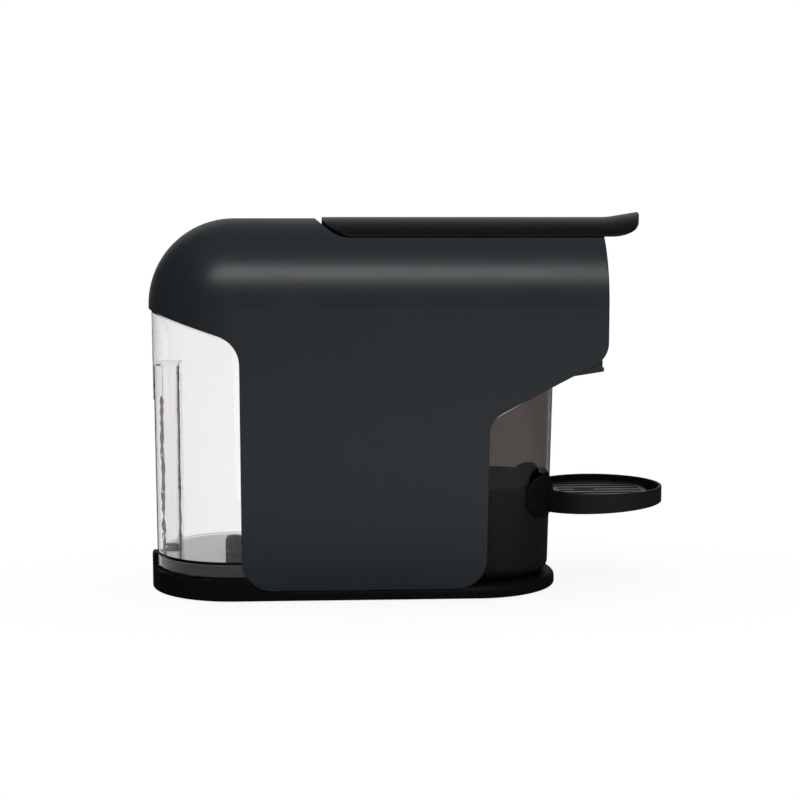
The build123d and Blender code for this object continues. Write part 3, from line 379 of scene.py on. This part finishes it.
def wrap(name, grid, finish, node, ring=False):
    """Mesh over a grid of shape (copies, rows, columns, 3), whose columns join round.

    The end rows close to their middle points; for a ring the last row joins the first instead.
    """
    copies, rows, columns, _ = grid.shape
    index = np.arange(rows * columns).reshape(rows, columns)
    here = np.vstack([index, index[:1]]) if ring else index
    beside = np.roll(here, -1, axis=1)
    quads = np.stack([here[:-1], beside[:-1], beside[1:], here[1:]], axis=-1).reshape(-1, 4)
    points = grid.reshape(copies, -1, 3)
    fans = np.zeros((0, 3), int)
    if not ring:
        points = np.concatenate([points, grid[:, [0, -1]].mean(axis=2)], axis=1)
        first = np.full(columns, rows * columns)
        near = np.stack([first, beside[0], here[0]], axis=-1)
        far = np.stack([first + 1, here[-1], beside[-1]], axis=-1)
        fans = np.vstack([near, far])
    shift = np.arange(copies)[:, None, None] * points.shape[1]
    faces = [(corners + shift).reshape(-1, corners.shape[1]).tolist() for corners in (quads, fans)]
    mesh = bpy.data.meshes.new(name)
    mesh.from_pydata(points.reshape(-1, 3), [], faces[0] + faces[1])
    mesh.shade_smooth()
    mesh.set_sharp_from_angle(angle=SHARP)
    mesh.materials.append(finish)
    piece = bpy.data.objects.new(name, mesh)
    scene.collection.objects.link(piece)
    if node:
        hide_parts(node)
    print(f"{name}: {len(mesh.polygons)} faces")
    return piece


def turned(radius, height, places):
    """Surface of revolution about Z, copied to each place; radius and height are (rows, columns)."""
    radius, height, _ = np.broadcast_arrays(radius, height, TURN)
    local = np.stack([radius * np.cos(TURN), radius * np.sin(TURN), height], axis=-1)
    return local[None] + np.array(places)[:, None, None, :]


def turned_along(reach, radius, middle_y, middle_z):
    """Surface of revolution about a line along X, from reaches along it and radii."""
    y = middle_y + radius * np.cos(TURN)
    z = middle_z + radius * np.sin(TURN)
    return np.stack(np.broadcast_arrays(reach, y, z), axis=-1)[None]


def rows(*values):
    """Rows of a profile as a column, so that they spread over all angles."""
    return np.concatenate([np.atleast_1d(v) for v in values])[:, None]


print(len(TURN), "columns round each piece")

# %% [markdown]
# ## Screws
# Four pan-head screws hold the base from below. Their radius and height are plain formulas of the row
# and the angle: a cross-shaped dip makes the recess for the driver, and a saw-tooth of height less
# angle makes the thread. Cutting the thread with a boolean would be slower and leave ragged edges.


# %% Screws
def screws():
    """Pan-head screw, from the middle of its face, over the edge, in under the head and up the shank.

    The face sinks where a point is near either arm of a cross, and the shank's radius follows a
    triangle wave of the height less the turn, which winds into a thread.
    """
    low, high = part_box("base_screws")
    head_r, head_t, rim_t, face_r, crown = 0.0032, 0.0022, 0.0008, 0.0029, 0.0003
    recess, arm_half, arm_slope, arm_reach, end_slope = 0.0012, 0.00048, 0.00014, 0.0019, 0.0004
    neck_r, root_r, thread, pitch, tip_r, tip_t = 0.0014, 0.00115, 0.00032, 0.0011, 0.0006, 0.0008
    ends = [(low[i] + head_r, high[i] - head_r) for i in (0, 1)]
    places = [(x, y, 0.0) for x in ends[0] for y in ends[1]]
    face = np.linspace(0.0001, face_r, 30)[:, None]
    across, along = np.abs(face * np.cos(TURN)), np.abs(face * np.sin(TURN))

    def arm(narrow, long):
        side = np.clip((arm_half - narrow) / arm_slope, 0, 1)
        return side * np.clip((arm_reach - long) / end_slope, 0, 1)

    dip = recess * np.maximum(arm(across, along), arm(along, across))
    face_z = low[2] + crown * (face / face_r) ** 2 + dip
    under = low[2] + head_t
    edge_r, edge_z = rows(head_r, head_r, neck_r), rows(low[2] + rim_t, under, under)
    shank_z = np.linspace(under + 0.0002, high[2] - tip_t, 84)[:, None]
    wave = np.abs(2 * ((shank_z / pitch - TURN / (2 * np.pi)) % 1.0) - 1)
    shank_r = root_r + thread * wave
    radius = np.vstack([face * AROUND, edge_r * AROUND, shank_r, rows(tip_r) * AROUND])
    height = np.vstack([face_z, edge_z * AROUND, shank_z * AROUND, rows(high[2]) * AROUND])
    return wrap("threaded_screws", turned(radius, height, places), STEEL, "base_screws")


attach(screws(), "machine")

# %% [markdown]
# ## Feet
# The machine stands on four rubber discs, with rings sunk into the sole against sliding. A bump would
# only look like rings, so the profile itself dips twice on its way out to the rounded edge.


# %% Feet
def feet():
    """Rubber disc with two rings sunk into its sole and a rounded lower edge."""
    low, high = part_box("rubber_feet")
    foot_r, rear_y = 0.007, 0.030
    rings, ring_half, ring_depth = np.array([0.0022, 0.0044]), 0.0004, 0.0004
    rear, front = (low[0] + foot_r, rear_y), (high[0] - foot_r, high[1] - foot_r)
    places = [(x, side * y, 0.0) for x, y in (rear, front) for side in (-1, 1)]
    sole = np.linspace(0.0002, 0.0063, 40)
    groove = np.clip(1.6 - np.abs(sole[:, None] - rings) / ring_half, 0, 1).max(axis=1)
    radius = rows(sole, 0.0067, 0.0069, foot_r, foot_r, 0.0002)
    height = rows(ring_depth * groove, 0.0001, 0.0003, 0.0006, high[2], high[2])
    return wrap("ringed_feet", turned(radius, height, places), RUBBER, "rubber_feet")


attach(feet(), "machine")

# %% [markdown]
# ## Bush for the lead
# Low at the back, a rubber bush lines the hole for the lead. It is a tube, so its profile is a closed
# loop, and the last row of points joins the first instead of closing to a cap.


# %% Bush
def bush():
    """Rubber tube round X with a rounded collar: a closed profile of reach along X and radius."""
    low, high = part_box("cord_gland")
    outer, bore, soft, softer = (high[2] - low[2]) / 2, 0.0033, 0.0003, 0.0008
    flare = 0.0006
    end, back = low[0], high[0]
    reach = rows(end, end, end + soft, end + softer, back, back, end + flare)
    radius = rows(bore + flare, outer - softer, outer - soft, outer, outer, bore, bore)
    grid = turned_along(reach, radius, (low[1] + high[1]) / 2, (low[2] + high[2]) / 2)
    return wrap("lead_bush", grid, RUBBER, "cord_gland", ring=True)


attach(bush(), "machine")

# %% [markdown]
# ## Strainer of the tank
# Low in the tank, a small ribbed cup keeps scale out of the pump, and a short pipe leads from it to
# the valve. The ribs could be cut one by one, but a cosine of the angle in the radius makes them all.

# %% Strainer and its pipe
FILTER_R, FILTER_H, PIPE_Z = 0.006, 0.0106, 0.0075


def strainer():
    """Cup with a rounded crown, turned about Z, whose radius swells and shrinks round it in ribs."""
    low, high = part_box("tank_filter")
    places = [(low[0] + FILTER_R, (low[1] + high[1]) / 2, low[2])]
    crown, ribs, depth = 0.0034, 16, 0.0005
    bend = np.linspace(0.0, np.pi / 2, 12)
    side = np.linspace(0.0004, FILTER_H - crown, 8)[:-1]
    smooth = rows(0.0002, np.full_like(side, FILTER_R), FILTER_R - crown * (1 - np.cos(bend)))
    height = rows(0.0, side, FILTER_H - crown * (1 - np.sin(bend)))
    share = rows(0.0, np.ones_like(side), np.cos(bend))
    radius = smooth - depth * share * (0.5 + 0.5 * np.cos(ribs * TURN))
    return wrap("ribbed_strainer", turned(radius, height, places), MESH, "tank_filter")


def strainer_pipe():
    """Short pipe from the cup to a collar in the valve, turned about X."""
    low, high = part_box("tank_filter")
    pipe_r, collar_r, collar_t, soft = 0.0029, 0.0052, 0.0025, 0.0003
    collar = high[0] - collar_t
    reach = rows(low[0] + FILTER_R, collar - 0.0004, collar, collar, high[0] - soft, high[0])
    radius = rows(pipe_r, pipe_r, 0.0033, collar_r, collar_r, collar_r - soft)
    grid = turned_along(reach, radius, (low[1] + high[1]) / 2, low[2] + PIPE_Z)
    return wrap("strainer_pipe", grid, MESH, None)


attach(strainer(), "tank")
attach(strainer_pipe(), "tank")

# %% [markdown]
# ## Hose to the piston
# A silicone hose feeds the piston, which slides back when the lever opens.


# %% Hose
def hose():
    """Circle carried along a path in the XZ plane: up from the heater, round a bend, to the piston."""
    low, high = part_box("brew_hose")
    tube_r, bend_r = 0.0025, 0.006
    x, top = low[0] + tube_r, high[2] - tube_r
    turn = np.linspace(0.0, np.pi / 2, 12)
    up = np.linspace(low[2], top - bend_r, 20)[:-1]
    bend_x, bend_z = x + bend_r * (1 - np.cos(turn)), top - bend_r * (1 - np.sin(turn))
    path_x = rows(np.full_like(up, x), bend_x, high[0])
    path_z = rows(up, bend_z, top)
    tilt = rows(np.zeros_like(up), turn, np.pi / 2)
    out = tube_r * np.cos(TURN)
    wall_x, wall_z = path_x + out * np.cos(tilt), path_z - out * np.sin(tilt)
    grid = np.stack(np.broadcast_arrays(wall_x, tube_r * np.sin(TURN), wall_z), axis=-1)[None]
    piece = wrap("piston_hose", grid, HOSE, "brew_hose")
    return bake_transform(piece)


hose()

# %% [markdown]
# ## Cheeks of the outlet cover
# Under the head, the cover round the spout shows as a grey wedge below the shell's rounded corner. Its
# two upright cheeks close the view into the head from the side. Each is one outline in the XZ plane,
# carried a short way along Y, so two rows of points and their end caps are enough.


# %% Cheeks
def cheeks():
    """Upright plate on each end of the cover: straight below and in front, sloping up from the rear."""
    low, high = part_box("outlet_cover")
    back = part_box("front_fascia")[0][0]
    tall, thick, lean = 0.014, 0.0018, 0.006
    x = np.array([low[0] + lean, low[0] + 2 * lean, back, back])
    z = high[2] + np.array([0.0, tall, tall, 0.0])
    inner = high[1] - thick
    y = np.array([[-high[1], -inner], [inner, high[1]]])[:, :, None]
    grid = np.stack(np.broadcast_arrays(x, y, z), axis=-1)
    return wrap("cover_cheeks", grid, SHELL, None)


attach(cheeks(), "machine")

# %% [markdown]
# ## The studio
# The machine stands on a white floor with nothing behind it. What the camera sees directly, or through
# the clear tank, is white, apart from the shadow at the machine's foot. What the plastics reflect is a
# dim room that brightens only low behind the machine, so that black stays black and just the edges
# that turn away from the camera catch light. From below the floor is open, so the underside shows.

# %% Floor
WHITE = (1.0, 1.0, 1.0, 1.0)
FLOOR_REACH, FLOOR_GAP = 4.0, 0.0002  # half the floor's width, and how far it lies below the feet
FLOOR_TONE = (0.9, 0.9, 0.9, 1.0)
FOOT_SCALE = (0.45, 1.0, 1.0)  # makes the long footprint round, so that one distance fits it
SHADOW, SHADOW_EDGE = 0.12, (0.05, 0.18)
# painted light for mirrors: the floor's glow, dark near the machine's foot and lit in one patch in
# front of it
MIRROR_DARK, MIRROR_LIT = (0.04, 0.04, 0.04, 1.0), (0.6, 0.6, 0.6, 1.0)
MIRROR_FADE, MIRROR_SPOT = (0.07, 0.3), (0.5, 1.2)
TO_SPOT = (-0.3, 0.9, 0.0)  # moves the lit patch in front of the machine to the origin


def floor_finish():
    """White with a soft shadow to the camera; to mirrors a glow with a painted pool of light in front
    and painted shade near the foot; open from below.
    """
    finish = Finish(bpy.data.materials.new("floor_white"))
    foot = finish.add("Mapping", {}, {"Vector": finish.place(), "Scale": FOOT_SCALE})
    away = finish.length(foot)
    seen = finish.seen()
    matt = finish.add("BsdfDiffuse", {}, {"Color": FLOOR_TONE})
    glow = finish.add("Emission", {}, {"Color": WHITE, "Strength": 1.0})
    share = seen * (1 - SHADOW + SHADOW * finish.ramp(away, *SHADOW_EDGE))
    plain = finish.add("MixShader", {}, {0: share, 1: matt, 2: glow})
    spot = finish.add("Mapping", {}, {"Vector": finish.place(), "Location": TO_SPOT})
    # painted light and shade seen in mirrors: the glow fades to dark near the foot and brightens to a
    # patch in front
    lit = finish.ramp(away, *MIRROR_FADE) * (1 - finish.ramp(finish.length(spot), *MIRROR_SPOT))
    shade = finish.blend(lit, MIRROR_DARK, MIRROR_LIT)
    dim = finish.add("Emission", {}, {"Color": shade, "Strength": 1.0})
    glossy = finish.add("LightPath", {}, {}, "Is Glossy Ray")
    above = finish.add("MixShader", {}, {0: glossy * (1 - seen), 1: plain, 2: dim})
    beneath = finish.add("NewGeometry", {}, {}, "Backfacing")
    below = finish.add("BsdfTransparent", {}, {"Color": WHITE})
    one_sided = finish.add("MixShader", {}, {0: beneath, 1: above, 2: below})
    finish.add("OutputMaterial", {}, {"Surface": one_sided})
    return finish.owner


def floor():
    """Square sheet that lies a hair below the feet."""
    r, z = FLOOR_REACH, -FLOOR_GAP
    mesh = bpy.data.meshes.new("floor")
    mesh.from_pydata([(-r, -r, z), (r, -r, z), (r, r, z), (-r, r, z)], [], [(0, 1, 2, 3)])
    mesh.materials.append(floor_finish())
    piece = bpy.data.objects.new("floor", mesh)
    scene.collection.objects.link(piece)


floor()
print("floor set")

# %% World
ROOM_LIGHT = 0.28  # level of the room as plain light
ROOM_DIM, ROOM_ABOVE, ROOM_BEHIND = 0.04, 0.1, 0.32  # levels of the room as mirrors see it
ABOVE, BEHIND, ASIDE = (0.7, 1.0), (0.3, 1.0), (0.25, 0.65)


def studio_world():
    """Room that is white to the camera, plain to light, and dim to mirrors but for above and behind."""
    scene.world = bpy.data.worlds.new("studio")
    sky = Finish(scene.world)
    direction = sky.add("TexCoord", {}, {}, "Generated")
    aside = sky.add("Math", {"operation": "ABSOLUTE"}, {0: sky.axis(direction, 0)})
    behind = sky.ramp(sky.axis(direction, 1), *BEHIND) * (1 - sky.ramp(aside, *ASIDE))
    above = sky.ramp(sky.axis(direction, 2), *ABOVE)
    mirrored = ROOM_DIM + ROOM_ABOVE * above + ROOM_BEHIND * behind
    glossy = sky.add("LightPath", {}, {}, "Is Glossy Ray")
    room = glossy * mirrored + (1 - glossy) * ROOM_LIGHT
    seen = sky.seen()
    light = sky.add("Background", {}, {"Color": WHITE, "Strength": seen + (1 - seen) * room})
    sky.add("OutputWorld", {}, {"Surface": light})


studio_world()
print("world set")

# %% [markdown]
# ## The lamps
# Only the key lamp shows in reflections, where it draws the bright band along the arched shoulder. The
# others fill in from the remaining sides, so that the machine can be read from all round, and are kept
# out of reflections and out of the clear tank, where they would show as white patches.


# %% Lamps
def softbox(name, place, target, size, watts, mirrored=False):
    """Rectangular lamp that faces its target and may show in reflections and clear plastic."""
    lamp = bpy.data.lights.new(name, "AREA")
    lamp.shape = "RECTANGLE"
    lamp.size, lamp.size_y = size
    lamp.energy = watts
    piece = bpy.data.objects.new(name, lamp)
    aim = (Vector(target) - Vector(place)).to_track_quat("-Z", "Y")
    piece.matrix_world = Matrix.Translation(place) @ aim.to_matrix().to_4x4()
    piece.visible_glossy = mirrored
    piece.visible_transmission = mirrored
    scene.collection.objects.link(piece)
    print(f"{name}: {watts} W")


softbox("key", (-0.1, -1.2, 1.35), (0.0, 0.0, 0.2), size=(1.6, 0.45), watts=10.5, mirrored=True)
softbox("fill", (0.5, -1.9, 0.3), (0.0, 0.0, 0.12), size=(1.2, 0.5), watts=7.0)
softbox("top", (0.0, 0.1, 1.6), (0.0, 0.1, 0.0), size=(2.4, 1.6), watts=12.0)
softbox("rear", (-0.4, 1.9, 0.7), (0.0, 0.0, 0.15), size=(1.6, 0.6), watts=14.0)
softbox("front", (1.9, 0.5, 0.7), (0.1, 0.0, 0.15), size=(1.2, 0.6), watts=10.0)

# %% [markdown]
# ## The camera
# The view is from the machine's right side, a little towards the back and a little above. The camera
# is placed by its two angles, the point that it aims at and its distance from there.

# %% Camera
YAW, PITCH = math.radians(3.2), math.radians(6.4)
AIM = Vector((-0.005729, 0.0, 0.126513))
DISTANCE = 1.1213
FOCAL_MM, SENSOR_MM = 73.62, 36.0
lens = bpy.data.cameras.new("camera")
lens.lens = FOCAL_MM
lens.sensor_width = SENSOR_MM
lens.sensor_fit = "HORIZONTAL"
level = math.cos(PITCH)
look = Vector((math.sin(YAW) * level, math.cos(YAW) * level, -math.sin(PITCH)))
eye = bpy.data.objects.new("camera", lens)
turn = look.to_track_quat("-Z", "Y").to_matrix().to_4x4()
eye.matrix_world = Matrix.Translation(AIM - DISTANCE * look) @ turn
scene.collection.objects.link(eye)
scene.camera = eye
print("camera at", [round(v, 4) for v in eye.location])
